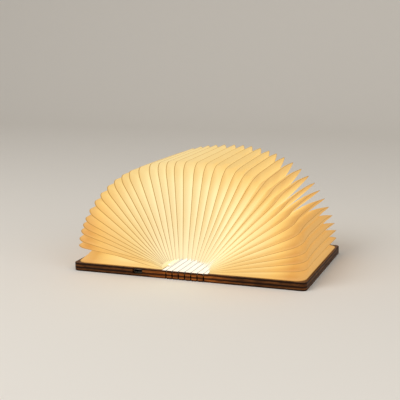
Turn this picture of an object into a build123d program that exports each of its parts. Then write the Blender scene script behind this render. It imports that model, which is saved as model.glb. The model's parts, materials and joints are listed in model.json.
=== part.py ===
from build123d import *
from math import cos, pi, radians, sin
import os

# Folding book lamp, lying open on a table, in millimetres. The board is one
# piece of laminated wood whose spine is kerfed into slats, and a fan of glued
# paper pages stands on it. X runs across the two covers, Y along the spine,
# Z up. The origin is under the middle of the spine, on the table.

# ---------------------------------------------------------------- the board
BOARD_LENGTH = 122.0  # along the spine
BOARD_REACH = 96.6  # from the middle of the spine to a cover's outer edge
BOARD_THICKNESS = 6.8
BOARD_CORNER = 4.0  # radius of the four outer corners
BOARD_EASE = 0.6  # radius along the edges of both faces
KERFS = 7
KERF_PITCH = 5.2
KERF_WIDTH = 1.05
WEB_BELOW_FACE = 2.0  # the bending ply lies this far under the inner face
WEB_THICKNESS = 0.5
WEB_TIP = 0.3  # each half of a web narrows over this length
WEB_PLAY = 0.01  # each half of a web ends this far from its hinge line
SLAT_EASE = 0.25
PAST_END = 1.0  # how far a cut runs on past the end of what it cuts

# ---------------------------------------------------------------- the pages
PAGES = 36
PAGE_LENGTH = 75.0  # from the spine edge to the fore edge
PAGE_DEPTH = 118.7  # along the spine
PAGE_CORNER = 8.5
SIDE_INSET = 20.0  # from a page's front or back edge in to the seam with its neighbour
FORE_INSET = 4.0  # from a page's fore edge in to the seam
SEAM_CORNER = 15.0  # the seam turns its corners on this radius
SHEET = 0.12  # thickness of one sheet of paper
SEAM_GAP = 0.08  # between neighbouring pages
GLUE_LINE = 1.6  # width over which the two sheets of a page are one
FAN_LIFT = 0.5  # the fan's own base line above the inner face
HOLLOW_PAST = 0.3  # how far a page's hollow runs on into the tunnel

# the tunnel that the pages' inner edges leave over the spine
ARCH_REACH = 19.6
ARCH_HEIGHT = 8.4
ARCH_SQUARENESS = 2.5  # 2 would be an ellipse
ARCH_CROWDING = 1.5  # how much the pages crowd together beside the covers

# ------------------------------------------------- what the left cover holds
POCKET_WIDTH = 57.0
POCKET_LENGTH = 54.5
POCKET_CENTER = (-55.5, -30.25)
POCKET_CORNER = 2.0
POCKET_FLOOR = 1.5
LID_THICKNESS = 0.9
LID_LEDGE = 2.0
LID_PLAY = 0.1
LID_NOTCH = 7.0  # across the ledge, over the light's leads
PORT_X = -40.0
PORT_WIDTH = 8.4
PORT_HEIGHT = 4.2
PORT_FLOOR = 1.7
PORT_CORNER = 1.0
SOCKET_SETBACK = 2.6  # the socket's mouth behind the cover's edge
SOCKET_WIDTH = 7.5
SOCKET_HEIGHT = 2.6
SOCKET_DEPTH = 5.6
SOCKET_WALL = 0.3
SOCKET_CORNER = 0.7
TONGUE_WIDTH = 3.8
TONGUE_HEIGHT = 0.6
CIRCUIT_WIDTH = 24.0
CIRCUIT_LENGTH = 16.0
CIRCUIT_THICKNESS = 1.0
CIRCUIT_PLAY = 0.8  # from the pocket's front wall
CHIP = (4.0, 4.0, 0.9)
COIL = (4.5, 4.5, 2.2)
# size, and place from the middle of the board: charger, coil and driver
CIRCUIT_PARTS = [(CHIP, (-3.0, 2.0)), (COIL, (2.5, 3.0)), (CHIP, (8.5, -3.5))]
BATTERY_SIZE = (50.0, 34.0, 3.8)
BATTERY_CENTER = (-57.0, -21.5)
BATTERY_CORNER = 1.2
LEAD_DIAMETER = 0.9
LEAD_SPACING = 1.6
LEAD_BEND = 1.2
LEAD_LIFT = 0.05  # between a lead and what it lies on
GROOVE_DEPTH = 1.1

# ------------------------------------------------------------ light and lock
LIGHT_X = -17.65  # middle of the light strip, beside the first kerf
LIGHT_WIDTH = 2.6
LIGHT_LENGTH = 98.0
LIGHT_BOARD = 0.6
LIGHT_CHIPS = 12
CHIP_SIZE = (1.4, 3.0, 0.6)
DIFFUSER_HEIGHT = 1.6
DIFFUSER_WALL = 0.35
MAGNET_RADIUS = 4.0
MAGNET_THICKNESS = 2.0
MAGNET_X = 86.0
MAGNET_Y = 46.0
MAGNET_GAP = 60.0  # from the outer magnet to the one by the spine
MAGNET_FIT = 0.05
SWITCH_X = 50.0  # where the magnet in the right cover meets the sensor
SWITCH_Y = -50.0
SENSOR_SIZE = (3.0, 4.0, 1.2)

# -------------------------------------------------------------- worked out
KERF_SPAN = (KERFS - 1) * KERF_PITCH / 2  # the outermost kerfs' distance
COVER_EDGE = KERF_SPAN + KERF_WIDTH / 2  # where a cover ends beside the spine
WEB_HEIGHT = BOARD_THICKNESS - WEB_BELOW_FACE
HALF_LENGTH = BOARD_LENGTH / 2
FAN_BASE = BOARD_THICKNESS + FAN_LIFT
LID_BOTTOM = BOARD_THICKNESS - LID_THICKNESS
PORT_MIDDLE = PORT_FLOOR + PORT_HEIGHT / 2
SOCKET_MOUTH = -HALF_LENGTH + SOCKET_SETBACK
CIRCUIT_FRONT = POCKET_CENTER[1] - POCKET_LENGTH / 2 + CIRCUIT_PLAY
CIRCUIT_TOP = PORT_MIDDLE - SOCKET_HEIGHT / 2
CIRCUIT_MIDDLE = (PORT_X, CIRCUIT_FRONT + CIRCUIT_LENGTH / 2)
POCKET_SPINE_SIDE = POCKET_CENTER[0] + POCKET_WIDTH / 2
LEAD_RISE_X = POCKET_SPINE_SIDE - 2.5  # where the light's leads climb to the groove
LIGHT_BASE = BOARD_THICKNESS + LIGHT_BOARD


def fan_angle(number):
    """Degrees from the left cover up to a page. Halves are the seams between pages."""
    share = number / (PAGES + 1)
    lean = 3.5 * sin(2 * pi * share) + 3.1 * sin(pi * share) - 0.2 * sin(3 * pi * share)
    ripple = 0.7 * sin(2 * pi * (number - 13) / 6.5)
    return 180 * share + lean + ripple


def arch_point(number):
    """Where a page or a seam starts on the tunnel's arch, as (x, z)."""
    share = number / (PAGES + 1)
    side = -1 if share <= 0.5 else 1
    turn = pi / 2 * (2 * min(share, 1 - share)) ** ARCH_CROWDING
    power = 2 / ARCH_SQUARENESS
    x = side * ARCH_REACH * cos(turn) ** power
    return x, FAN_BASE + ARCH_HEIGHT * sin(turn) ** power


def sheet_plane(start, angle, shift=0.0):
    """A plane along a page, moved by shift towards the right cover."""
    along = (-cos(radians(angle)), 0, sin(radians(angle)))
    across = (sin(radians(angle)), 0, cos(radians(angle)))
    origin = (start[0] + shift * across[0], 0, start[1] + shift * across[2])
    return Plane(origin, x_dir=along, z_dir=(-across[0], 0, -across[2]))


def page_outline(plane, start, reach, half_depth, corner):
    """A page's outline on a plane, from start out to reach."""
    with BuildSketch(plane) as outline:
        with Locations(((start + reach) / 2, 0)):
            Rectangle(reach - start, 2 * half_depth)
        fillet(outline.vertices().sort_by(Axis.X)[-2:], corner)
    return outline.sketch


# ------------------------------------------------------------------ covers
def cover_board(side):
    """One cover as a plain board, with the web along its spine edge."""
    middle = side * (BOARD_REACH + COVER_EDGE) / 2
    with BuildPart() as board:
        with BuildSketch():
            with Locations((middle, 0)):
                Rectangle(BOARD_REACH - COVER_EDGE, BOARD_LENGTH)
        extrude(amount=BOARD_THICKNESS)
        corners = board.edges().filter_by(Axis.Z)
        outer = [e for e in corners if abs(e.center().X) > COVER_EDGE + BOARD_EASE]
        fillet(outer, BOARD_CORNER)
        faces = board.faces().filter_by(Axis.Z)
        rims = [e for e in faces.edges() if abs(e.center().X) > COVER_EDGE + BOARD_EASE]
        fillet(rims, BOARD_EASE)
        with BuildSketch(Plane.XZ):
            with Locations((side * KERF_SPAN, WEB_HEIGHT)):
                Polygon(
                    (side * WEB_PLAY, 0),
                    (side * WEB_TIP, -WEB_THICKNESS / 2),
                    (side * KERF_WIDTH / 2, -WEB_THICKNESS / 2),
                    (side * KERF_WIDTH / 2, WEB_THICKNESS / 2),
                    (side * WEB_TIP, WEB_THICKNESS / 2),
                    align=None,
                )
        extrude(amount=HALF_LENGTH, both=True)
    return board.part


with BuildPart() as left_cover:
    add(cover_board(-1))
    # the pocket for the battery and the circuit board, and the lid's ledge
    with BuildSketch(Plane.XY.offset(POCKET_FLOOR)):
        with Locations(POCKET_CENTER):
            RectangleRounded(POCKET_WIDTH, POCKET_LENGTH, POCKET_CORNER)
    extrude(amount=BOARD_THICKNESS, mode=Mode.SUBTRACT)
    with BuildSketch(Plane.XY.offset(LID_BOTTOM)):
        with Locations(POCKET_CENTER):
            RectangleRounded(POCKET_WIDTH + 2 * LID_LEDGE, POCKET_LENGTH + 2 * LID_LEDGE, POCKET_CORNER)
    extrude(amount=BOARD_THICKNESS, mode=Mode.SUBTRACT)
    # the charging port through the front edge
    with BuildSketch(Plane.XZ.offset(HALF_LENGTH)):
        with Locations((PORT_X, PORT_MIDDLE)):
            RectangleRounded(PORT_WIDTH, PORT_HEIGHT, PORT_CORNER)
    extrude(amount=-(HALF_LENGTH + POCKET_CENTER[1] - POCKET_LENGTH / 2 + PAST_END), mode=Mode.SUBTRACT)
    # blind holes for the closing magnets
    with Locations(Plane.XY.offset(BOARD_THICKNESS)):
        with Locations((-MAGNET_X, MAGNET_Y), (-MAGNET_X + MAGNET_GAP, MAGNET_Y)):
            Hole(MAGNET_RADIUS, depth=MAGNET_THICKNESS)
    # the groove that takes the light's leads from the pocket to the strip
    with BuildSketch(Plane.XY.offset(BOARD_THICKNESS)):
        with Locations(((LEAD_RISE_X + LIGHT_X) / 2, CIRCUIT_MIDDLE[1])):
            Rectangle(LIGHT_X - LEAD_RISE_X, 2 * LEAD_SPACING)
    extrude(amount=-GROOVE_DEPTH, mode=Mode.SUBTRACT)
left_cover.part.label = "left_cover"

with BuildPart() as right_cover:
    add(cover_board(1))
    with Locations(Plane.XY.offset(BOARD_THICKNESS)):
        with Locations((MAGNET_X, MAGNET_Y), (MAGNET_X - MAGNET_GAP, MAGNET_Y), (SWITCH_X, SWITCH_Y)):
            Hole(MAGNET_RADIUS, depth=MAGNET_THICKNESS)
right_cover.part.label = "right_cover"

with BuildPart() as left_cover_lid:
    with BuildSketch(Plane.XY.offset(LID_BOTTOM)):
        with Locations(POCKET_CENTER):
            RectangleRounded(
                POCKET_WIDTH + 2 * (LID_LEDGE - LID_PLAY),
                POCKET_LENGTH + 2 * (LID_LEDGE - LID_PLAY),
                POCKET_CORNER - LID_PLAY,
            )
    extrude(amount=LID_THICKNESS)
    # a notch over the leads' groove
    with BuildSketch(Plane.XY.offset(LID_BOTTOM)):
        with Locations((POCKET_SPINE_SIDE, CIRCUIT_MIDDLE[1])):
            Rectangle(LID_NOTCH, 2 * LEAD_SPACING)
    extrude(amount=LID_THICKNESS, mode=Mode.SUBTRACT)
left_cover_lid.part.label = "left_cover_lid"

covers = [left_cover.part, right_cover.part, left_cover_lid.part]


# ------------------------------------------------------------- spine slats
def spine_slat(number):
    """One slat between two kerfs, with half a web on either side."""
    middle = -KERF_SPAN + (number - 0.5) * KERF_PITCH
    wide = (KERF_PITCH - KERF_WIDTH) / 2
    neck = KERF_PITCH / 2 - WEB_TIP
    tip = KERF_PITCH / 2 - WEB_PLAY
    with BuildPart() as slat:
        with BuildSketch(Plane.XZ):
            with Locations((middle, BOARD_THICKNESS / 2)):
                Rectangle(2 * wide, BOARD_THICKNESS)
        extrude(amount=HALF_LENGTH, both=True)
        fillet(slat.edges().filter_by(Axis.Y), SLAT_EASE)
        with BuildSketch(Plane.XZ):
            with Locations((middle, WEB_HEIGHT)):
                Polygon(
                    (-tip, 0),
                    (-neck, -WEB_THICKNESS / 2),
                    (neck, -WEB_THICKNESS / 2),
                    (tip, 0),
                    (neck, WEB_THICKNESS / 2),
                    (-neck, WEB_THICKNESS / 2),
                    align=None,
                )
        extrude(amount=HALF_LENGTH, both=True)
    slat.part.label = f"spine_slat_{number}"
    return slat.part


slats = [spine_slat(number) for number in range(1, KERFS)]


# ------------------------------------------------------------------- pages
HALF_PAGE = PAGE_DEPTH / 2
RIDGE = PAGE_LENGTH, HALF_PAGE, PAGE_CORNER
SEAM = PAGE_LENGTH - FORE_INSET, HALF_PAGE - SIDE_INSET, SEAM_CORNER
HOLLOW_RIDGE = PAGE_LENGTH - GLUE_LINE, HALF_PAGE - GLUE_LINE, PAGE_CORNER - GLUE_LINE
HOLLOW_SEAM = SEAM[0] - SHEET, SEAM[1] - SHEET, SEAM_CORNER
SKIN = SEAM_GAP / 2 + SHEET  # from the middle of a seam to the inside of a sheet


def page(number):
    """Two sheets glued along three edges, open to the tunnel inside."""
    low, high = number - 0.5, number + 0.5
    low_start, low_angle = arch_point(low), fan_angle(low)
    high_start, high_angle = arch_point(high), fan_angle(high)
    middle = sheet_plane(arch_point(number), fan_angle(number))
    with BuildPart() as cell:
        loft(
            [
                page_outline(sheet_plane(low_start, low_angle, SEAM_GAP / 2), 0, *SEAM),
                page_outline(middle, 0, *RIDGE),
                page_outline(sheet_plane(high_start, high_angle, -SEAM_GAP / 2), 0, *SEAM),
            ],
            ruled=True,
        )
    with BuildPart() as hollow:
        loft(
            [
                page_outline(sheet_plane(low_start, low_angle, SKIN), -HOLLOW_PAST, *HOLLOW_SEAM),
                page_outline(middle, -HOLLOW_PAST, *HOLLOW_RIDGE),
                page_outline(sheet_plane(high_start, high_angle, -SKIN), -HOLLOW_PAST, *HOLLOW_SEAM),
            ],
            ruled=True,
        )
    with BuildPart() as sheets:
        add(cell.part)
        add(hollow.part, mode=Mode.SUBTRACT)
    sheets.part.label = f"page_{number:02d}"
    return sheets.part


pages = [page(number) for number in range(1, PAGES + 1)]


def end_sheet(side):
    """The pair of sheets between a cover and the fan's outermost seam."""
    cover_angle = 0 if side < 0 else 180
    cover_start = (side * ARCH_REACH, BOARD_THICKNESS)
    seam_number = 0.5 if side < 0 else PAGES + 0.5
    seam_start, seam_angle = arch_point(seam_number), fan_angle(seam_number)
    with BuildPart() as cell:
        loft(
            [
                page_outline(sheet_plane(cover_start, cover_angle), 0, *RIDGE),
                page_outline(sheet_plane(seam_start, seam_angle, side * SEAM_GAP / 2), 0, *SEAM),
            ],
            ruled=True,
        )
    with BuildPart() as hollow:
        on_cover = sheet_plane(cover_start, cover_angle, -side * SHEET)
        at_seam = sheet_plane(seam_start, seam_angle, side * SKIN)
        loft(
            [
                page_outline(on_cover, -HOLLOW_PAST, *HOLLOW_RIDGE),
                page_outline(at_seam, -HOLLOW_PAST, *HOLLOW_SEAM),
            ],
            ruled=True,
        )
    with BuildPart() as sheets:
        add(cell.part)
        add(hollow.part, mode=Mode.SUBTRACT)
    return sheets.part


left_end_sheet = end_sheet(-1)
left_end_sheet.label = "left_end_sheet"
right_end_sheet = end_sheet(1)
right_end_sheet.label = "right_end_sheet"
end_sheets = [left_end_sheet, right_end_sheet]

# --------------------------------------------- the light strip in the tunnel
with BuildPart() as led_board:
    with BuildSketch(Plane.XY.offset(BOARD_THICKNESS)):
        with Locations((LIGHT_X, 0)):
            Rectangle(LIGHT_WIDTH, LIGHT_LENGTH)
    extrude(amount=LIGHT_BOARD)
led_board.part.label = "led_board"

with BuildPart() as led_chips:
    with BuildSketch(Plane.XY.offset(LIGHT_BASE)):
        with Locations((LIGHT_X, 0)):
            with GridLocations(0, LIGHT_LENGTH / LIGHT_CHIPS, 1, LIGHT_CHIPS):
                Rectangle(CHIP_SIZE[0], CHIP_SIZE[1])
    extrude(amount=CHIP_SIZE[2])
led_chips.part.label = "led_chips"

with BuildPart() as light_diffuser:
    with BuildSketch(Plane.XZ) as channel:
        with Locations((LIGHT_X, LIGHT_BASE)):
            Rectangle(LIGHT_WIDTH, DIFFUSER_HEIGHT, align=(Align.CENTER, Align.MIN))
        fillet(channel.vertices().group_by(Axis.Y)[-1], LIGHT_WIDTH * 0.4)
        with Locations((LIGHT_X, LIGHT_BASE)):
            Rectangle(
                LIGHT_WIDTH - 2 * DIFFUSER_WALL,
                DIFFUSER_HEIGHT - DIFFUSER_WALL,
                align=(Align.CENTER, Align.MIN),
                mode=Mode.SUBTRACT,
            )
    extrude(amount=LIGHT_LENGTH / 2, both=True)
light_diffuser.part.label = "light_diffuser"

# ------------------------------------------------- inside the left cover
with BuildPart() as battery_cell:
    with BuildSketch(Plane.XY.offset(POCKET_FLOOR)):
        with Locations(BATTERY_CENTER):
            Rectangle(BATTERY_SIZE[0], BATTERY_SIZE[1])
    extrude(amount=BATTERY_SIZE[2])
    fillet(battery_cell.edges().filter_by(Axis.Y), BATTERY_CORNER)
battery_cell.part.label = "battery_cell"

with BuildPart() as control_board:
    with BuildSketch(Plane.XY.offset(POCKET_FLOOR)):
        with Locations(CIRCUIT_MIDDLE):
            Rectangle(CIRCUIT_WIDTH, CIRCUIT_LENGTH)
    extrude(amount=CIRCUIT_THICKNESS)
    for size, place in CIRCUIT_PARTS:
        with BuildSketch(Plane.XY.offset(CIRCUIT_TOP)):
            with Locations((CIRCUIT_MIDDLE[0] + place[0], CIRCUIT_MIDDLE[1] + place[1])):
                Rectangle(size[0], size[1])
        extrude(amount=size[2])
control_board.part.label = "control_board"

with BuildPart() as usb_socket:
    with BuildSketch(Plane.XZ.offset(-SOCKET_MOUTH)):
        with Locations((PORT_X, PORT_MIDDLE)):
            RectangleRounded(SOCKET_WIDTH, SOCKET_HEIGHT, SOCKET_CORNER)
    extrude(amount=-SOCKET_DEPTH)
    with BuildSketch(Plane.XZ.offset(-SOCKET_MOUTH)):
        with Locations((PORT_X, PORT_MIDDLE)):
            RectangleRounded(
                SOCKET_WIDTH - 2 * SOCKET_WALL, SOCKET_HEIGHT - 2 * SOCKET_WALL, SOCKET_CORNER - SOCKET_WALL
            )
    extrude(amount=-(SOCKET_DEPTH - SOCKET_WALL), mode=Mode.SUBTRACT)
usb_socket.part.label = "usb_socket"

with BuildPart() as usb_tongue:
    with BuildSketch(Plane.XZ.offset(-(SOCKET_MOUTH + SOCKET_DEPTH - SOCKET_WALL))):
        with Locations((PORT_X, PORT_MIDDLE + TONGUE_HEIGHT)):
            Rectangle(TONGUE_WIDTH, TONGUE_HEIGHT)
    extrude(amount=SOCKET_DEPTH - 2 * SOCKET_WALL - TONGUE_HEIGHT)
usb_tongue.part.label = "usb_tongue"

with BuildPart() as hall_sensor:
    with BuildSketch(Plane.XY.offset(CIRCUIT_TOP)):
        with Locations((-SWITCH_X, SWITCH_Y)):
            Rectangle(SENSOR_SIZE[0], SENSOR_SIZE[1])
    extrude(amount=SENSOR_SIZE[2])
hall_sensor.part.label = "hall_sensor"

with BuildPart() as battery_leads:
    lead_height = CIRCUIT_TOP + LEAD_DIAMETER / 2 + LEAD_LIFT
    battery_front = BATTERY_CENTER[1] - BATTERY_SIZE[1] / 2
    with BuildSketch(Plane.XZ.offset(-battery_front)):
        with Locations((CIRCUIT_MIDDLE[0] + CIRCUIT_WIDTH / 3, lead_height)):
            with GridLocations(LEAD_SPACING, 0, 2, 1):
                Circle(LEAD_DIAMETER / 2)
    extrude(amount=battery_front - CIRCUIT_MIDDLE[1] - CIRCUIT_LENGTH / 3)
battery_leads.part.label = "battery_leads"

with BuildPart() as light_leads:
    groove_height = BOARD_THICKNESS - GROOVE_DEPTH + LEAD_DIAMETER / 2 + LEAD_LIFT
    for side in (-1, 1):
        lead_y = CIRCUIT_MIDDLE[1] + side * LEAD_SPACING / 2
        with BuildLine() as route:
            FilletPolyline(
                (LEAD_RISE_X, lead_y, CIRCUIT_TOP),
                (LEAD_RISE_X, lead_y, groove_height),
                (LIGHT_X - LEAD_DIAMETER, lead_y, groove_height),
                radius=LEAD_BEND,
            )
        with BuildSketch(Plane((LEAD_RISE_X, lead_y, CIRCUIT_TOP))):
            Circle(LEAD_DIAMETER / 2)
        sweep(path=route.line)
light_leads.part.label = "light_leads"

with BuildPart() as left_cover_magnets:
    with BuildSketch(Plane.XY.offset(BOARD_THICKNESS)):
        with Locations((-MAGNET_X, MAGNET_Y), (-MAGNET_X + MAGNET_GAP, MAGNET_Y)):
            Circle(MAGNET_RADIUS - MAGNET_FIT)
    extrude(amount=-MAGNET_THICKNESS)
left_cover_magnets.part.label = "left_cover_magnets"

with BuildPart() as right_cover_magnets:
    with BuildSketch(Plane.XY.offset(BOARD_THICKNESS)):
        with Locations((MAGNET_X, MAGNET_Y), (MAGNET_X - MAGNET_GAP, MAGNET_Y)):
            Circle(MAGNET_RADIUS - MAGNET_FIT)
    extrude(amount=-MAGNET_THICKNESS)
right_cover_magnets.part.label = "right_cover_magnets"

with BuildPart() as switch_magnet:
    with BuildSketch(Plane.XY.offset(BOARD_THICKNESS)):
        with Locations((SWITCH_X, SWITCH_Y)):
            Circle(MAGNET_RADIUS - MAGNET_FIT)
    extrude(amount=-MAGNET_THICKNESS)
switch_magnet.part.label = "switch_magnet"

# ----------------------------------------------------------------- export
light = [led_board.part, led_chips.part, light_diffuser.part, light_leads.part]
electronics = [battery_cell.part, battery_leads.part, control_board.part, hall_sensor.part]
socket = [usb_socket.part, usb_tongue.part]
magnets = [left_cover_magnets.part, right_cover_magnets.part, switch_magnet.part]

os.makedirs("parts", exist_ok=True)
for piece in covers + slats + pages + end_sheets + light + electronics + socket + magnets:
    export_step(piece, f"parts/{piece.label}.step")
    print(piece.label, round(piece.volume, 1), "mm3 in", len(piece.solids()), "solids")
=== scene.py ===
# %% [markdown]
# # A folding book lamp
# Two wooden covers lie flat on a table, joined by a spine that bends at seven saw
# kerfs. Between them stands a half circle of glued paper pages, lit from inside by a
# strip in the tunnel over the spine. The solids of the wood, the light and the socket
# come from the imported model. The paper is made here, one mesh for each page, because
# a page's bowed sides and its glow are what the eye looks at.

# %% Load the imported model
import json
from itertools import repeat
from math import atan2, cos, degrees, pi, radians, sin

import bmesh
import bpy
from mathutils import Matrix, Vector


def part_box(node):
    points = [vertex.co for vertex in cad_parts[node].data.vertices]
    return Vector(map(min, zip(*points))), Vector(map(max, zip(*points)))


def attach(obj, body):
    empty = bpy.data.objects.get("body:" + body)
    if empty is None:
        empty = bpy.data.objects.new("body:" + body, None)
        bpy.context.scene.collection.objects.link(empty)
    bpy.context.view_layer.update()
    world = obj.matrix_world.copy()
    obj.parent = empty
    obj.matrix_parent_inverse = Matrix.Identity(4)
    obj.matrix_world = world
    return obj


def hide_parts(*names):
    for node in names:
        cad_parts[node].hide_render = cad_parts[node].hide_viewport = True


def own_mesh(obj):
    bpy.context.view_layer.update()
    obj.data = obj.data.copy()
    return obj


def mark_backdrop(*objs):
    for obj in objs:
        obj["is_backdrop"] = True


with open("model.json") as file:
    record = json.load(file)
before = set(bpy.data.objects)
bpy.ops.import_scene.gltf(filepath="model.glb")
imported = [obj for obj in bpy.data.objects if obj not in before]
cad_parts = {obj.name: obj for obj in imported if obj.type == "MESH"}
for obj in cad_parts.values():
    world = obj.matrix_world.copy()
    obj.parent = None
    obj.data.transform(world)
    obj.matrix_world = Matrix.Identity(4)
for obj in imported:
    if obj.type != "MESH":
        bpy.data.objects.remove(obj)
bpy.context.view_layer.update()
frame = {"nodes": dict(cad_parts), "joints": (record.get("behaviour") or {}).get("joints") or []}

MM = 0.001
nodes = frame["nodes"]
joints = {joint["name"]: joint for joint in frame["joints"]}
page_names = sorted(name for name in nodes if name.startswith("page_"))
print(len(nodes), "nodes,", len(joints), "joints,", len(page_names), "pages")

# %% [markdown]
# ## The camera
# A lamp like this is photographed from a little above the table and from the right of
# the spine. A long lens keeps the covers' edges nearly parallel. The camera is placed
# by two angles and a distance from the middle of the spine, and then slid sideways in
# its own picture plane, which frames the lamp without turning the view.

# %% Camera
CAMERA_TURN = 20.3  # degrees to the right of the spine's direction
CAMERA_TILT = 11.05  # degrees down
CAMERA_ROLL = -0.64  # degrees
CAMERA_DISTANCE = 756.3 * MM
CAMERA_SLIDE = (-9.0 * MM, 51.4 * MM)
CAMERA_LENS = 81.1  # millimetres of focal length
NEAREST_SEEN = 10 * MM

turn, tilt, roll = radians(CAMERA_TURN), radians(CAMERA_TILT), radians(CAMERA_ROLL)
view = Vector((-sin(turn) * cos(tilt), cos(turn) * cos(tilt), -sin(tilt)))
level = Vector((cos(turn), sin(turn), 0))
upright = level.cross(view)
right = level * cos(roll) + upright * sin(roll)
up = upright * cos(roll) - level * sin(roll)
place = right * CAMERA_SLIDE[0] + up * CAMERA_SLIDE[1] - view * CAMERA_DISTANCE

camera = bpy.data.objects.new("camera", bpy.data.cameras.new("camera"))
camera.data.lens = CAMERA_LENS
camera.data.clip_start = NEAREST_SEEN
camera.matrix_world = Matrix.Translation(place) @ Matrix((right, up, -view)).transposed().to_4x4()
bpy.context.scene.collection.objects.link(camera)
bpy.context.scene.camera = camera
print("camera at", [round(v, 3) for v in place])

# %% [markdown]
# ## A short way to write materials
# Every finish here is a tree of nodes around one Principled shader. Written out in
# full, each tree would be fifty lines of links. These helpers add a node, fill its
# sockets with numbers or with other nodes' outputs, and hand its first output back,
# so that a finish reads from the inside out like a sum.

# %% Nodes and sums
def add_node(tree, kind, *values, **settings):
    """A node with its first inputs filled, each by a number, a tuple or a link."""
    made = tree.nodes.new(kind)
    for name, value in settings.items():
        setattr(made, name, value)
    for socket, value in zip(made.inputs, values):
        if isinstance(value, bpy.types.NodeSocket):
            tree.links.new(value, socket)
        elif value is not None:
            socket.default_value = value
    return made


def sums(tree, operation, *values, clamp=False):
    """One sum on numbers or links, such as ADD or POWER."""
    made = add_node(tree, "ShaderNodeMath", *values, operation=operation, use_clamp=clamp)
    return made.outputs[0]


def times(tree, first, *others):
    """The product of two or more numbers or links."""
    product = first
    for other in others:
        product = sums(tree, "MULTIPLY", product, other)
    return product


def times_plus(tree, value, factor, start, clamp=False):
    """value times factor, plus start."""
    return sums(tree, "MULTIPLY_ADD", value, factor, start, clamp=clamp)


def step(tree, value, low, high):
    """0 below low, 1 above high, and smooth between. low may be the larger one."""
    limits = (low, high, 0.0, 1.0)
    made = add_node(tree, "ShaderNodeMapRange", value, *limits, interpolation_type="SMOOTHSTEP")
    return made.outputs["Result"]


# %% [markdown]
# Colours are blended by two more helpers. Patterns are noise in the object's own
# space, so they stay on a piece as it moves. A bump makes relief out of a pattern.

# %% Colours and patterns
def rgba(colour):
    return (*colour, 1.0)


def ramp(tree, factor, *stops):
    """A colour ramp with stops of (place, colour)."""
    made = add_node(tree, "ShaderNodeValToRGB", factor)
    band = made.color_ramp
    while len(band.elements) < len(stops):
        band.elements.new(1.0)
    for element, (place_on_ramp, colour) in zip(band.elements, stops):
        element.position = place_on_ramp
        element.color = rgba(colour)
    return made.outputs["Color"]


def mix(tree, factor, a, b, blend_type="MIX"):
    """From colour a at factor 0 to colour b, or to a blended with b, at factor 1."""
    made = tree.nodes.new("ShaderNodeMix")
    made.data_type = "RGBA"
    made.blend_type = blend_type
    for name, value in (("Factor_Float", factor), ("A_Color", a), ("B_Color", b)):
        socket = next(s for s in made.inputs if s.identifier == name)
        if isinstance(value, bpy.types.NodeSocket):
            tree.links.new(value, socket)
        else:
            socket.default_value = value if name == "Factor_Float" else rgba(value)
    return next(s for s in made.outputs if s.identifier == "Result_Color")


def noise(tree, where, scale, detail=2.0, roughness=0.5, distortion=0.0):
    made = add_node(tree, "ShaderNodeTexNoise")
    tree.links.new(where, made.inputs["Vector"])
    made.inputs["Scale"].default_value = scale
    made.inputs["Detail"].default_value = detail
    made.inputs["Roughness"].default_value = roughness
    made.inputs["Distortion"].default_value = distortion
    return made.outputs["Fac"]


def stretched(tree, where, scale):
    """The same place in a space that is stretched along each axis."""
    return add_node(tree, "ShaderNodeMapping", where, None, None, scale).outputs[0]


def bump(tree, height, distance):
    made = tree.nodes.new("ShaderNodeBump")
    tree.links.new(height, made.inputs["Height"])
    made.inputs["Distance"].default_value = distance
    return made.outputs["Normal"]


# %% [markdown]
# A finish starts as one Principled shader with plain numbers, and its links are made
# later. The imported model's nodes come with a material of their own, so a finish takes
# the place of that one.

# %% A finish, and the nodes that wear it
def finish(name, roughness=0.5, metallic=0.0, specular=0.5):
    """A material with its Principled shader, ready for links. Returns both."""
    material = bpy.data.materials.new(name)
    material.use_nodes = True
    shader = material.node_tree.nodes["Principled BSDF"]
    shader.inputs["Roughness"].default_value = roughness
    shader.inputs["Metallic"].default_value = metallic
    shader.inputs["Specular IOR Level"].default_value = specular
    return material, shader


def wear(node_names, material):
    """Puts a material on CAD nodes."""
    for name in node_names:
        nodes[name].data.materials.clear()
        nodes[name].data.materials.append(material)
    print(material.name, "on", len(node_names), "nodes")


# %% [markdown]
# ## Walnut ply
# The board is thin walnut over plies whose grain crosses, cut by a laser. Its faces
# show long grain that runs along the spine, with darker pores. Its edges show the
# plies as stripes, singed nearly black at their borders. One material does both: the
# object's own normal tells a face from an edge, and its height tells the plies apart.
# Grain is noise that has been stretched along one axis.

# %% Walnut's faces and edges
PLY = 1.5 * MM
WALNUT_DARK = (0.045, 0.018, 0.007)
WALNUT_MID = (0.125, 0.055, 0.022)
WALNUT_LIGHT = (0.24, 0.115, 0.048)
# near black: the singed ply borders and burns, and the painted shade at the edge's foot
SINGED_AND_SHADE = (0.012, 0.005, 0.002)
# warms the edges, and darkens them as painted shade on the board's edges
EDGE_TINT_AND_SHADE = (0.68, 0.50, 0.30)
# how often each pattern changes in a metre, along x, y and z
FIGURE_GRAIN = (95, 7, 95)
PORE_GRAIN = (1500, 60, 1500)
STREAK_GRAIN = (120, 120, 2600)
SPECK_GRAIN = (1900, 1900, 1900)
BURN_GRAIN = 160.0
PORE_DARKNESS = 0.55
BURN_DARKNESS = 0.45
SHADED_FOOT_TOP, SHADED_FOOT_FULL = 1.5 * MM, 0.5 * MM  # the edge is painted darker from the first height down, as shade where it meets the table


def walnut_face(tree, figure, pores):
    """Long grain with darker pores."""
    face = ramp(tree, figure, (0.3, WALNUT_DARK), (0.52, WALNUT_MID), (0.72, WALNUT_LIGHT))
    return mix(tree, times(tree, step(tree, pores, 0.56, 0.7), PORE_DARKNESS), face, WALNUT_DARK)


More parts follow.
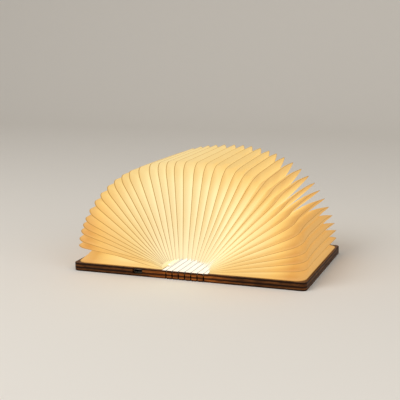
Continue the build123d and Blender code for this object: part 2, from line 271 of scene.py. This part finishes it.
def walnut_edge(tree, where, height, streaks):
    """Alternate plies, each with streaks along the edge or short end grain."""
    even = sums(tree, "PINGPONG", sums(tree, "DIVIDE", height, PLY), 1.0)
    specks = noise(tree, stretched(tree, where, SPECK_GRAIN), 1.0, 1.0)
    light_ply = ramp(tree, streaks, (0.36, WALNUT_DARK), (0.62, WALNUT_LIGHT))
    dark_ply = ramp(tree, specks, (0.4, SINGED_AND_SHADE), (0.66, WALNUT_DARK))
    edge = mix(tree, step(tree, even, 0.36, 0.58), dark_ply, light_ply)
    burn = times(tree, step(tree, noise(tree, where, BURN_GRAIN, 3.0), 0.5, 0.72), BURN_DARKNESS)
    # painted shade: the edge turns nearly black towards its foot, where the board meets the table
    shaded_foot = step(tree, height, SHADED_FOOT_TOP, SHADED_FOOT_FULL)
    edge = mix(tree, sums(tree, "MAXIMUM", burn, shaded_foot), edge, SINGED_AND_SHADE)
    # the warm tint and the painted shade go over every edge alike
    return mix(tree, 1.0, edge, EDGE_TINT_AND_SHADE, "MULTIPLY")


# %% [markdown]
# Under the tunnel the lamp's light falls straight on the board. A small strip between
# thin solids would need many samples to show that, so the light on the wood is
# painted, as emission: nearly white on the slats' upper faces, weaker down in the
# kerfs, and a warm trace of it on the board's front edge.

# %% Lamplight on the wood
BOARD_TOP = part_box("spine_slat_1")[1].z
BOARD_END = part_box("spine_slat_1")[1].y
TUNNEL_HALF = -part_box("left_end_sheet")[1].x
TUNNEL_WHITE = (1.0, 0.98, 0.88)
TUNNEL_CREAM = (1.0, 0.93, 0.72)
TUNNEL_FADE = 1.5 * MM
KERF_SHARE = 0.6  # of the light that falls on the wood beside a kerf
KERF_DARK, KERF_LIT = 2.2 * MM, 1.0 * MM  # below the board's upper face
SKIN_DARK, SKIN_LIT = 0.4 * MM, 0.1 * MM
END_DARK, END_LIT = 1.0 * MM, 5.0 * MM  # in from the board's front and back edges
FRONT_WARMTH = (1.6, 1.15, 0.35)  # times the wood's own colour
FRONT_DARK, FRONT_LIT = 2.4 * TUNNEL_HALF, 0.8 * TUNNEL_HALF  # from the middle of the spine


def lamplight(tree, axes, lean, colour, pores):
    """The colour that glows on a piece of the board with this colour and these pores."""
    sideways, lengthwise = (sums(tree, "ABSOLUTE", axes.outputs[axis]) for axis in "XY")
    height = axes.outputs["Z"]
    inside = step(tree, sideways, TUNNEL_HALF, TUNNEL_HALF - TUNNEL_FADE)
    not_end = step(tree, sums(tree, "ABSOLUTE", lean.outputs["Y"]), 0.5, 0.3)
    kerf_depth = step(tree, height, BOARD_TOP - KERF_DARK, BOARD_TOP - KERF_LIT)
    off_end = step(tree, lengthwise, BOARD_END - END_DARK, BOARD_END - END_LIT)
    in_kerf = times(tree, kerf_depth, off_end, KERF_SHARE)
    on_top = step(tree, height, BOARD_TOP - SKIN_DARK, BOARD_TOP - SKIN_LIT)
    lit = times(tree, inside, not_end, sums(tree, "MAXIMUM", in_kerf, on_top))
    glow = mix(tree, step(tree, pores, 0.35, 0.7), TUNNEL_WHITE, TUNNEL_CREAM)
    near = step(tree, sideways, FRONT_DARK, FRONT_LIT)
    on_front = times(tree, step(tree, lean.outputs["Y"], -0.5, -0.8), near)
    warm = mix(tree, 1.0, colour, FRONT_WARMTH, "MULTIPLY")
    return mix(tree, lit, mix(tree, on_front, (0, 0, 0), warm), glow)


print("the light falls on", round(2 * TUNNEL_HALF / MM, 1), "mm of the wood")

# %% [markdown]
# Now faces, edges and light come together. The board and the lid of its pocket are the
# same wood, and only the board is lit. Figure and pores also raise the grain a little,
# and the pores vary the sheen, since wood is never evenly glossy.

# %% Walnut on the board and the lid
GRAIN_RELIEF = 0.12 * MM


def walnut(name, lit=False):
    material, shader = finish(name, specular=0.1)
    tree = material.node_tree
    coordinates = tree.nodes.new("ShaderNodeTexCoord")
    where = coordinates.outputs["Object"]
    axes = add_node(tree, "ShaderNodeSeparateXYZ", where)
    lean = add_node(tree, "ShaderNodeSeparateXYZ", coordinates.outputs["Normal"])
    on_face = step(tree, sums(tree, "ABSOLUTE", lean.outputs["Z"]), 0.55, 0.8)
    figure = noise(tree, stretched(tree, where, FIGURE_GRAIN), 1.0, 3.0, 0.55, 1.2)
    pores = noise(tree, stretched(tree, where, PORE_GRAIN), 1.0, 2.0, 0.6)
    streaks = noise(tree, stretched(tree, where, STREAK_GRAIN), 1.0, 3.0, 0.65)

    edge = walnut_edge(tree, where, axes.outputs["Z"], streaks)
    colour = mix(tree, on_face, edge, walnut_face(tree, figure, pores))
    tree.links.new(colour, shader.inputs["Base Color"])
    grain = sums(tree, "ADD", times(tree, figure, 0.5), times(tree, pores, -0.5))
    relief = sums(tree, "ADD", times(tree, on_face, grain), times(tree, streaks, 0.3))
    tree.links.new(bump(tree, relief, GRAIN_RELIEF), shader.inputs["Normal"])
    tree.links.new(times_plus(tree, pores, 0.3, 0.34), shader.inputs["Roughness"])
    if lit:
        glowing = lamplight(tree, axes, lean, colour, pores)
        tree.links.new(glowing, shader.inputs["Emission Color"])
        shader.inputs["Emission Strength"].default_value = 1.0
    return material


slats = [name for name in nodes if name.startswith("spine_slat_")]
wear(slats + ["left_cover", "right_cover"], walnut("walnut_board", lit=True))
wear(["left_cover_lid"], walnut("walnut_lid"))

# %% [markdown]
# ## The fan's plan
# Thirty-six pages share the half circle. A page is two sheets, glued together along
# three edges, and glued to its neighbours on a line inside the edge. So between two
# pages lies a seam, and the page's own edge stands out from it as a ridge. Pages have
# whole numbers from the left, and the seams between them have the halves. One formula
# gives the angle for any number, and another the place on the arch of the tunnel. Both
# are the solids' own, and each page's angle is checked against its joint.

# %% Plan of the fan
PAGES = len(page_names)
PAGE_LENGTH = 75.0 * MM
PAGE_DEPTH = 118.7 * MM
FAN_BASE = BOARD_TOP + 0.5 * MM
FAN_BENDS = ((2, 3.5), (1, 3.1), (3, -0.2))  # half waves over the fan, and their degrees
RIPPLE = 0.7  # degrees by which pages crowd and spread by turns
RIPPLE_PAGES = 6.5  # from one crowd of pages to the next
RIPPLE_START = 13
ARCH_REACH = 19.6 * MM
ARCH_HEIGHT = 8.4 * MM
ARCH_SQUARENESS = 2.5
ARCH_CROWDING = 1.5


def fan_angle(number):
    """Degrees from the left cover up to a page, or to a seam for a half."""
    share = number / (PAGES + 1)
    lean = sum(size * sin(waves * pi * share) for waves, size in FAN_BENDS)
    return 180 * share + lean + RIPPLE * sin(2 * pi * (number - RIPPLE_START) / RIPPLE_PAGES)


def arch_point(number):
    """Where a page or a seam starts on the tunnel's arch."""
    share = number / (PAGES + 1)
    side = -1 if share <= 0.5 else 1
    turned = pi / 2 * (2 * min(share, 1 - share)) ** ARCH_CROWDING
    power = 2 / ARCH_SQUARENESS
    rise = ARCH_HEIGHT * sin(turned) ** power
    return Vector((side * ARCH_REACH * cos(turned) ** power, 0, FAN_BASE + rise))


def along(angle):
    """From the tunnel out to the fore edge of a page at this angle."""
    return Vector((-cos(radians(angle)), 0, sin(radians(angle))))


def across(angle):
    """Square to a page, towards the right cover."""
    return Vector((sin(radians(angle)), 0, cos(radians(angle))))


worst = 0.0
for number, name in enumerate(page_names, 1):
    worst = max(worst, abs(joints[f"{name}_turn"]["range_deg"][1] - fan_angle(number)))
print("pages' angles agree with their joints to", round(worst, 3), "degrees")

# %% [markdown]
# ## The outline of a page and of its seam
# Seen flat, a page is a rectangle with round corners, and its seam is a smaller one
# inside it. Both are open towards the tunnel. They are drawn with equally many points,
# so that the paper between them can be made by going from one outline to the other.
# At the right of the fan the glue ends further in from the fore edge at some seams,
# and there the pages part and leave a deep slit.

# %% Outlines
PAGE_CORNER = 8.5 * MM
SIDE_INSET = 28.0 * MM  # 20 in the solids, whose hollows would fail any deeper
FORE_INSET = 4.0 * MM
SEAM_CORNER = 22.0 * MM
SIDE_STEPS = 7
CORNER_STEPS = 7
FORE_STEPS = 8
FORE_START = SIDE_STEPS + CORNER_STEPS
# how many millimetres further in from the fore edge the glue of these seams ends
SLACK = {24.5: 4, 25.5: 6, 26.5: 7, 27.5: 9, 28.5: 21, 29.5: 16, 30.5: 16, 31.5: 7}


def edge_path(reach, half, corner):
    """Points (u, v) of a rounded rectangle that is open towards the tunnel."""
    front = [((reach - corner) * n / SIDE_STEPS, -half) for n in range(SIDE_STEPS)]
    for n in range(CORNER_STEPS + 1):
        quarter = pi / 2 * n / CORNER_STEPS
        front.append((reach - corner + corner * sin(quarter), -half + corner * (1 - cos(quarter))))
    fore = [(reach, (corner - half) * (1 - 2 * n / FORE_STEPS)) for n in range(1, FORE_STEPS)]
    back = [(u, -v) for u, v in reversed(front)]
    return front + fore + back


def seam_path(seam):
    inset = FORE_INSET + SLACK.get(seam, 0) * MM
    return edge_path(PAGE_LENGTH - inset, PAGE_DEPTH / 2 - SIDE_INSET, SEAM_CORNER)


RIDGE_PATH = edge_path(PAGE_LENGTH, PAGE_DEPTH / 2, PAGE_CORNER)
print("a page's outline has", len(RIDGE_PATH), "points")

# %% [markdown]
# ## From the seam out to the ridge
# Rings between the two outlines carry the sheet from the seam out to the ridge. The
# sheet doesn't go straight: glued paper bows, so it leaves the seam slowly and turns
# in steeply at the ridge. Inside the seam the sheet is flat. An inner skin follows at
# the paper's thickness, up to the ring where the two sheets of a page are glued.

# %% Rings of a sheet
SHEET = 0.12 * MM
SEAM_GAP = 0.08 * MM
RINGS = (0.0, 0.08, 0.2, 0.36, 0.54, 0.72, 0.86, 0.95, 1.0)
GLUED_RING = 7  # the inner skins meet here
MEETING_SHARE = 1 / 3  # they run together over this last share of the way
BOW = 1.9
LEAST_SPACE = 0.01 * MM  # the inner skins stay this far from a page's middle


def sheet_rings(page_start, page_turn, seam, shift):
    """Rings of (u, v, n) in the page's own axes, from the seam out to the ridge."""
    out, side = along(fan_angle(seam)), across(fan_angle(seam))
    rings = []
    for fold in RINGS:
        ring = []
        for (seam_u, seam_v), (ridge_u, ridge_v) in zip(seam_path(seam), RIDGE_PATH):
            glued = arch_point(seam) + out * seam_u + side * shift - page_start
            u = glued.dot(along(page_turn)) * (1 - fold) + ridge_u * fold
            v = seam_v * (1 - fold) + ridge_v * fold
            ring.append((u, v, glued.dot(across(page_turn)) * (1 - fold**BOW)))
        rings.append(ring)
    return rings


def inner_rings(rings, inward, meeting, glued):
    """The same rings on the sheet's inner side, drawn together at the glued ring.

    Where a page has no room for both of its sheets, each stops just short of its middle.
    """
    skin = []
    for k, ring in enumerate(rings[: GLUED_RING + 1]):
        kept = min(1.0, (1 - k / GLUED_RING) / MEETING_SHARE)
        moved = []
        for u, v, n in ring:
            inside = n + inward * SHEET
            if (meeting - inside) * inward < LEAST_SPACE and not meeting:
                inside = -inward * LEAST_SPACE
            moved.append((u, v, meeting + (inside - meeting) * kept))
        skin.append(moved)
    skin[GLUED_RING] = [(u, v, meeting) for u, v in glued]
    return skin


def flat_rows(ring):
    """The flat of a sheet inside its seam, as straight rows from front to back."""
    rows = []
    for j in range(FORE_START):
        a, b = Vector(ring[j]), Vector(ring[-1 - j])
        rows.append([a.lerp(b, n / FORE_STEPS) for n in range(FORE_STEPS + 1)])
    rows.append([Vector(p) for p in ring[FORE_START : FORE_START + FORE_STEPS + 1]])
    return rows


print("from seam to ridge in", len(RINGS), "rings")

# %% [markdown]
# ## Paper that was glued by hand
# Paper glued by hand doesn't stand quite true. Some pages crowd together and others
# spread, the free margins hang a little lower than the glued middle, and towards the
# back the whole fan turns to the left. Paper that stands also reaches a little further
# out. All of this is one smooth bend of space about the middle of the tunnel, which
# fades to nothing beside the covers. It bends a seam in the same way for the pages on
# both sides of it, so neighbouring pages stay together.

# %% Unevenness
FAN_CENTRE = Vector((0, 0, 8.8 * MM))
TWIST = 3.2  # degrees by which the back of the fan turns to the left
TWIST_GROWS = 36  # over this many degrees up from the left cover
TWIST_ENDS = 153  # at this angle it has gone again
TWIST_FADES = 22.5  # over this many degrees before
SAG = 2.0  # degrees by which a page's free margins hang below its glued middle
SAG_GROWS = 10  # over this many degrees up from either cover
STRETCH = 0.02  # the paper reaches this share further out once it stands
STRETCH_GROWS = 6
# degrees up from the left cover, and how far the paper there has moved to the right
UNEVEN = (
    (0, 0), (3, 2.8), (7.5, 0.7), (12, 0.6), (24, -2), (38, -1.7),
    (50, 0.6), (58, 0.3), (68, 1.7), (88, 0.9), (104, -1.4), (110, -2),
    (118, -0.5), (140, 0.3), (156, 1.7), (166, 1.3), (171, 0.3), (180, 0),
)


def moved_by(place):
    """How many degrees the paper at this place in the half circle has moved."""
    for (low, before), (high, after) in zip(UNEVEN, UNEVEN[1:]):
        if low <= place < high:
            return before + (after - before) * (place - low) / (high - low)
    return 0.0


def least(*shares):
    """The least of these shares, kept between 0 and 1."""
    return max(0.0, min(1.0, *shares))


def settled(point):
    """Where a point of a perfect fan lies in the real one."""
    arm = point - FAN_CENTRE
    place = degrees(atan2(arm.z, -arm.x))
    fade = least(place / TWIST_GROWS, (TWIST_ENDS - place) / TWIST_FADES)
    margin = least(1 - (PAGE_DEPTH / 2 - abs(point.y)) / SIDE_INSET)
    hanging = (1 - margin) * least(place / SAG_GROWS, (180 - place) / SAG_GROWS)
    risen = SAG * cos(radians(place)) * hanging
    turned = moved_by(place) + risen - TWIST * fade * (point.y / PAGE_DEPTH + 0.5)
    up_the_page = (arm.xz.length - ARCH_REACH) / PAGE_LENGTH
    standing = least(up_the_page, place / STRETCH_GROWS, (180 - place) / STRETCH_GROWS)
    outward = 1 + STRETCH * standing
    stretched_arm = Vector((arm.x * outward, arm.y, arm.z * outward))
    return FAN_CENTRE + Matrix.Rotation(radians(turned), 3, "Y") @ stretched_arm


print("pages have moved by up to", max(abs(moved) for _, moved in UNEVEN), "degrees")

# %% [markdown]
# ## One page as a mesh
# Rows of points become a grid of faces: the outer skin of each sheet, its inner skin,
# and the strips that close the two along the tunnel, so that every page is a closed
# shell that is open inside. Points that fall on one another are merged at the end,
# which is simpler than keeping count of shared corners.
#
# Four numbers go with every point for the glow: fold, from 0 at the seam to 1 at the
# ridge, rim, how far the point lies inside the page's edge, reach, from 0 at the tunnel
# to 1 at the fore edge, and lean, from 0 on the brightest page to 1 on one that lies on
# a cover.

# %% Page mesh
RIM_UNIT = 10 * MM  # the rim number is 1 this far inside the edge
FORE_LIGHT = 5 * MM  # the fore edge counts as this much further inside
BRIGHTEST = 76  # degrees: the light strip lies left of the middle and shines up
MERGE = 0.002 * MM
CREASE = radians(50)
SEAM_CREASE = radians(4)


def piece_of(mesh, name):
    """The finished mesh as an object in the scene."""
    data = bpy.data.meshes.new(name)
    mesh.to_mesh(data)
    mesh.free()
    piece = bpy.data.objects.new(name, data)
    bpy.context.scene.collection.objects.link(piece)
    return piece


def smooth_and_crease(mesh, fold_layer):
    """Smooth faces, but a hard line where paper is glued or cut."""
    for face in mesh.faces:
        face.smooth = True
    for edge in mesh.edges:
        bend = edge.calc_face_angle(0.0)
        on_seam = all(v[fold_layer] == 0 for v in edge.verts)
        edge.smooth = bend < (SEAM_CREASE if on_seam else CREASE)


def paper_shell(name, page_start, page_turn, sheets, meeting=0.0):
    """sheets holds (rings, inward) for each of the two sheets."""
    mesh = bmesh.new()
    layers = [mesh.verts.layers.float.new(kind) for kind in ("fold", "rim", "reach", "lean")]
    out, side = along(page_turn), across(page_turn)
    lean = abs(page_turn - BRIGHTEST) / (BRIGHTEST if page_turn < BRIGHTEST else 180 - BRIGHTEST)
    one, other = (rings[GLUED_RING] for rings, inward in sheets)
    glued = [((a[0] + b[0]) / 2, (a[1] + b[1]) / 2) for a, b in zip(one, other)]

    def row_of(points, folds):
        row = []
        for (u, v, n), fold in zip(points, folds):
            vertex = mesh.verts.new(settled(page_start + out * u + side * n + Vector((0, v, 0))))
            rim = min(PAGE_LENGTH - u + FORE_LIGHT, PAGE_DEPTH / 2 - abs(v)) / RIM_UNIT
            for layer, value in zip(layers, (fold, rim, max(u, 0) / PAGE_LENGTH, lean)):
                vertex[layer] = value
            row.append(vertex)
        return row

    def grid(rows):
        for a, b in zip(rows, rows[1:]):
            for corners in zip(a, a[1:], b[1:], b):
                mesh.faces.new(corners)

    for rings, inward in sheets:
        skin = inner_rings(rings, inward, meeting, glued)
        for each in (rings, skin):
            grid([row_of(ring, repeat(fold)) for ring, fold in zip(each, RINGS)])
            grid([row_of(row, repeat(0.0)) for row in flat_rows(each[0])])
        grid([row_of(flat_rows(each[0])[0], repeat(0.0)) for each in (rings, skin)])
        for column in (0, -1):
            ends = [[ring[column] for ring in each] for each in (rings, skin)]
            grid([row_of(end, RINGS[: GLUED_RING + 1]) for end in ends])
            glue_line, ridge = rings[GLUED_RING][column], rings[GLUED_RING + 1][column]
            tip = (glue_line, ridge, skin[GLUED_RING][column])
            mesh.faces.new(row_of(tip, (RINGS[GLUED_RING], 1.0, RINGS[GLUED_RING])))

    bmesh.ops.remove_doubles(mesh, verts=mesh.verts, dist=MERGE)
    bmesh.ops.recalc_face_normals(mesh, faces=mesh.faces)
    smooth_and_crease(mesh, layers[0])
    return piece_of(mesh, name)


# %% [markdown]
# ## All the pages
# Each page rides on its own body. When the book shuts, the real page is pressed flat between its
# neighbours.


def page_piece(number):
    start, middle = arch_point(number), fan_angle(number)
    sheets = []
    for side in (1, -1):
        sheets.append((sheet_rings(start, middle, number - side / 2, side * SEAM_GAP / 2), side))
    name = page_names[number - 1]
    piece = paper_shell(f"{name}_paper", start, middle, sheets)
    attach(piece, name)
    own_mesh(piece)
    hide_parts(name)
    return piece


paper_pieces = [page_piece(number) for number in range(1, PAGES + 1)]
print(len(paper_pieces), "pages,", sum(len(p.data.polygons) for p in paper_pieces), "faces")

# %% [markdown]
# ## The end sheets
# The first and the last page hang on the covers by one more pair of sheets. One lies
# glued on the wood, and the other climbs from its edge to the first seam, bowing as it
# goes. The page's rings make both: the sheet on the wood is those rings laid flat.

# %% End sheets
# by side: the cover, the node of its sheets, the kerf beside it, the seam and the angle
END_SHEETS = {
    -1: ("left_cover", "left_end_sheet", "kerf_1", 0.5, 0),
    1: ("right_cover", "right_end_sheet", "kerf_7", PAGES + 0.5, 180),
}


def end_sheet(side):
    """side is -1 for the left cover and 1 for the right one."""
    body, node, joint, seam, page_turn = END_SHEETS[side]
    start = Vector((side * ARCH_REACH, 0, BOARD_TOP))
    climbing = sheet_rings(start, page_turn, seam, side * SEAM_GAP / 2)
    lying = [[(u, v, 0.0) for u, v, n in ring] for ring in climbing]
    sheets = [(lying, -side), (climbing, side)]
    piece = paper_shell(f"{body}_end_paper", start, page_turn, sheets, meeting=-side * SHEET / 2)
    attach(piece, body)
    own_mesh(piece)
    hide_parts(node)
    return piece


end_pieces = [end_sheet(-1), end_sheet(1)]
heights = [max(v.co.z for v in piece.data.vertices) / MM for piece in end_pieces]
print("end sheets rise", [round(height, 1) for height in heights], "mm")

# %% [markdown]
# ## Paper lit from inside
# The paper is matt and cream, and the light behind it is warm. A real page is lit by lamplight that
# enters at the tunnel and bounces between its sheets, so it is nearly white by the tunnel and turns
# to gold with distance. Where the two sheets are glued along the ridge, less light comes through,
# and the edge itself is painted as a thin dark line, which also stands for the shade of the gap
# behind the ridge.
# Letting light through real thin sheets would take thousands of samples, so the glow
# is painted as emission from the four numbers that the mesh carries. A scale runs from
# 0, the palest light, to 1, the deepest gold, and these helpers say how far down it a
# point lies, and where the gold margins and the dark ridge lines are.

# %% Light in the paper
GLOW_CORE = (1.0, 0.94, 0.66)
GLOW_NEAR = (1.0, 0.91, 0.55)
GLOW_FAR = (0.97, 0.70, 0.25)
GLOW_END = (0.80, 0.46, 0.12)
CLOUD_GRAIN = 38.0
CLOUDS = 0.16  # of the scale
LOW_START = 0.5  # a low page is this far down the scale where it leaves the tunnel
BRIGHTEST_FALL = 0.42  # from tunnel to fore edge, on the brightest page
LEANING_FALL = 0.72  # and this much more on a page that lies on a cover
FORE_FALL = 0.12  # and this much more close to every fore edge
STANDING_HOLD = 1.4  # a standing page keeps its light for longer
MARGIN_WIDTH = 1.25  # in units of rim
MARGIN_CURVE = 1.2
STANDING_CLEAR = 0.4  # a standing page's margins have this much less gold


def carried(tree, kind):
    """One of the numbers that the mesh carries."""
    return add_node(tree, "ShaderNodeAttribute", attribute_name=kind).outputs["Fac"]


def light_scale(tree, where, reach, lean, standing):
    """How far down the scale of light a point lies."""
    drift = times_plus(tree, noise(tree, where, CLOUD_GRAIN, 2.0), CLOUDS, -CLOUDS / 2)
    by_tunnel = times(tree, step(tree, reach, 0.6, 0.05), LOW_START)
    low_page = times(tree, step(tree, lean, 0.5, 1.0), by_tunnel)
    fall = times_plus(tree, lean, LEANING_FALL, BRIGHTEST_FALL)
    ending = times_plus(tree, step(tree, reach, 0.7, 1.0), FORE_FALL, drift)
    far = sums(tree, "POWER", reach, times_plus(tree, standing, STANDING_HOLD, 1.0))
    return times_plus(tree, far, fall, sums(tree, "ADD", ending, low_page))


def gold_margin(tree, reach, standing):
    """1 at the page's cut edge, and 0 well inside it."""
    inside = sums(tree, "DIVIDE", carried(tree, "rim"), MARGIN_WIDTH)
    nearness = sums(tree, "SUBTRACT", 1.0, inside, clamp=True)
    away = times_plus(tree, step(tree, reach, 0.0, 0.5), 0.7, 0.3)
    through = times_plus(tree, standing, -STANDING_CLEAR, 1.0)
    return times(tree, away, through, sums(tree, "POWER", nearness, MARGIN_CURVE))


def ridge_shade_line(tree, reach):
    """The painted dark line on a ridge, for its glued edge and the shade of the gap behind it,
    weaker by the tunnel and at the fore edge.
    """
    clear_of_tunnel = times_plus(tree, step(tree, reach, 0.0, 0.3), 0.5, 0.5)
    at_fore_edge = times_plus(tree, step(tree, reach, 0.88, 0.97), -0.2, 1.0)
    on_ridge = step(tree, carried(tree, "fold"), 0.958, 0.978)
    return times(tree, clear_of_tunnel, at_fore_edge, on_ridge)


# %% [markdown]
# The same colour, dimmer, is also the paper's base colour, so that folds still shade it; its
# gradient from pale to gold and its gold margins are painted light. Fibres speckle it and raise it
# a little.

# %% Paper
RIM_GOLD = (0.82, 0.60, 0.30)
# painted: less light through the glued ridge, and the shade of the gap behind it
RIDGE_SHADE_LINE = (0.34, 0.19, 0.05)
PLAIN_PAPER = (0.84, 0.69, 0.41)
PLAIN_SHARE = 0.45
FIBRE_BROWN = (0.70, 0.55, 0.34)
FIBRE_SHARE = 0.10
FIBRE_GRAIN = (900, 500, 900)
FIBRE_RELIEF = 0.02 * MM
BASE_SHARE = 0.50
GLOW_SHARE = 0.62


def paper():
    material, shader = finish("page_paper", roughness=0.86, specular=0.15)
    tree = material.node_tree
    where = tree.nodes.new("ShaderNodeTexCoord").outputs["Object"]
    reach, lean = carried(tree, "reach"), carried(tree, "lean")
    standing = times_plus(tree, lean, -2.0, 1.0, clamp=True)

    depth = light_scale(tree, where, reach, lean, standing)
    glow = ramp(tree, depth, (0.0, GLOW_CORE), (0.35, GLOW_NEAR), (0.78, GLOW_FAR), (1.0, GLOW_END))
    glow = mix(tree, gold_margin(tree, reach, standing), glow, RIM_GOLD, "MULTIPLY")
    fibres = noise(tree, stretched(tree, where, FIBRE_GRAIN), 1.0, 3.0, 0.6)
    speckled = mix(tree, times(tree, fibres, FIBRE_SHARE), glow, FIBRE_BROWN)
    plainer = mix(tree, PLAIN_SHARE, speckled, PLAIN_PAPER)
    # painted light: the glow's colours, dimmed, make the paper's base colour too
    base_with_painted_glow = mix(tree, 1.0, plainer, (BASE_SHARE,) * 3, "MULTIPLY")

    # the painted ridge shade darkens both the base colour and the glow
    ridge_shade = ridge_shade_line(tree, reach)
    tree.links.new(mix(tree, ridge_shade, base_with_painted_glow, RIDGE_SHADE_LINE), shader.inputs["Base Color"])
    tree.links.new(mix(tree, ridge_shade, speckled, RIDGE_SHADE_LINE), shader.inputs["Emission Color"])
    shader.inputs["Emission Strength"].default_value = GLOW_SHARE
    tree.links.new(bump(tree, fibres, FIBRE_RELIEF), shader.inputs["Normal"])
    return material


page_paper = paper()
for piece in paper_pieces + end_pieces:
    piece.data.materials.append(page_paper)
print("paper on", len(paper_pieces + end_pieces), "pieces")

# %% [markdown]
# ## The light and what feeds it
# A milky channel covers the strip of light-emitting chips. It is the one thing here
# that really shines, and it brightens the tunnel and the pages' inner ends. The
# socket is plated steel with a black tongue.

# %% Light, socket and inner pieces
LAMP_WHITE = (1.0, 0.86, 0.58)
MOTTLE_RELIEF = 0.02 * MM


def plain(name, colour, variation, scale, roughness, metallic=0.0, glow=0.0):
    """A mottled finish: its colour varies by a share, that often in a metre."""
    material, shader = finish(name, roughness=roughness, metallic=metallic)
    tree = material.node_tree
    where = tree.nodes.new("ShaderNodeTexCoord").outputs["Object"]
    mottle = noise(tree, where, scale, 3.0)
    dark = tuple(c * (1 - variation) for c in colour)
    tree.links.new(ramp(tree, mottle, (0.3, dark), (0.7, colour)), shader.inputs["Base Color"])
    tree.links.new(bump(tree, mottle, MOTTLE_RELIEF), shader.inputs["Normal"])
    if glow:
        shader.inputs["Emission Color"].default_value = rgba(LAMP_WHITE)
        shader.inputs["Emission Strength"].default_value = glow
    return material


wear(["light_diffuser"], plain("milky_diffuser", (0.60, 0.55, 0.44), 0.05, 300, 0.35, glow=0.7))
wear(["led_chips"], plain("led_phosphor", (0.95, 0.78, 0.30), 0.1, 900, 0.4, glow=2.5))
wear(["led_board"], plain("white_circuit", (0.80, 0.80, 0.76), 0.08, 500, 0.4))
wear(["control_board"], plain("green_circuit", (0.02, 0.12, 0.05), 0.3, 700, 0.35))
# the steel is darker than bare plating: painted shade of the socket's recess
wear(["usb_socket"], plain("socket_steel", (0.24, 0.22, 0.20), 0.15, 900, 0.45, metallic=1.0))
wear(["usb_tongue", "hall_sensor"], plain("black_plastic", (0.02, 0.02, 0.022), 0.3, 900, 0.45))
magnets = ["left_cover_magnets", "right_cover_magnets", "switch_magnet"]
wear(magnets, plain("magnet_nickel", (0.66, 0.66, 0.65), 0.08, 600, 0.22, metallic=1.0))
wear(["battery_cell"], plain("battery_foil", (0.70, 0.71, 0.72), 0.12, 200, 0.35, metallic=0.9))
wear(["battery_leads"], plain("lead_insulation", (0.40, 0.03, 0.02), 0.15, 700, 0.4))
# the leads' faint glow is painted lamplight that falls on them in the tunnel
wear(["light_leads"], plain("lamplit_white_insulation", (0.80, 0.77, 0.68), 0.06, 700, 0.4, glow=0.4))

# %% [markdown]
# ## Table, light and air
# The lamp stands on a plain pale floor that sweeps up behind it. Two large soft
# panels and an even sky light it, so that every colour comes out about as written.

# %% Stage
FLOOR_HALF = 1.6
SWEEP_START = 0.9
SWEEP_RADIUS = 0.6
SWEEP_STEPS = 12
BACKDROP_TOP = 1.8
FLOOR_COLOUR = (0.80, 0.76, 0.70)
LAMP_MIDDLE = (0, 0, 0.03)
AIR_COLOUR = (1.0, 0.98, 0.95)
AIR_STRENGTH = 0.45


def sweep():
    """The floor and backdrop as one sheet, curved where they meet."""
    profile = [(-FLOOR_HALF, 0.0), (SWEEP_START, 0.0)]
    for n in range(1, SWEEP_STEPS + 1):
        bend = pi / 2 * n / SWEEP_STEPS
        profile.append((SWEEP_START + SWEEP_RADIUS * sin(bend), SWEEP_RADIUS * (1 - cos(bend))))
    profile.append((SWEEP_START + SWEEP_RADIUS, BACKDROP_TOP))
    mesh = bmesh.new()
    rows = [[mesh.verts.new((x, y, z)) for x in (-FLOOR_HALF, FLOOR_HALF)] for y, z in profile]
    for a, b in zip(rows, rows[1:]):
        mesh.faces.new((a[0], a[1], b[1], b[0])).smooth = True
    floor = piece_of(mesh, "floor")
    material, shader = finish("floor", roughness=0.9, specular=0.1)
    shader.inputs["Base Color"].default_value = rgba(FLOOR_COLOUR)
    floor.data.materials.append(material)
    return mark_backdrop(floor)


def panel(name, spot, size, watts):
    """A soft square light at this spot, turned to the lamp."""
    light = bpy.data.lights.new(name, "AREA")
    light.size = size
    light.energy = watts
    made = bpy.data.objects.new(name, light)
    made.location = spot
    towards = Vector(LAMP_MIDDLE) - Vector(spot)
    made.rotation_euler = towards.to_track_quat("-Z", "Y").to_euler()
    bpy.context.scene.collection.objects.link(made)


sweep()
panel("key", (-0.55, -0.75, 0.95), 0.8, 8.0)
panel("fill", (0.95, -0.45, 0.55), 0.9, 3.5)
world = bpy.data.worlds.new("air")
world.use_nodes = True
world.node_tree.nodes["Background"].inputs["Color"].default_value = rgba(AIR_COLOUR)
world.node_tree.nodes["Background"].inputs["Strength"].default_value = AIR_STRENGTH
bpy.context.scene.world = world
bpy.context.scene.view_settings.view_transform = "Standard"
print("stage is set")
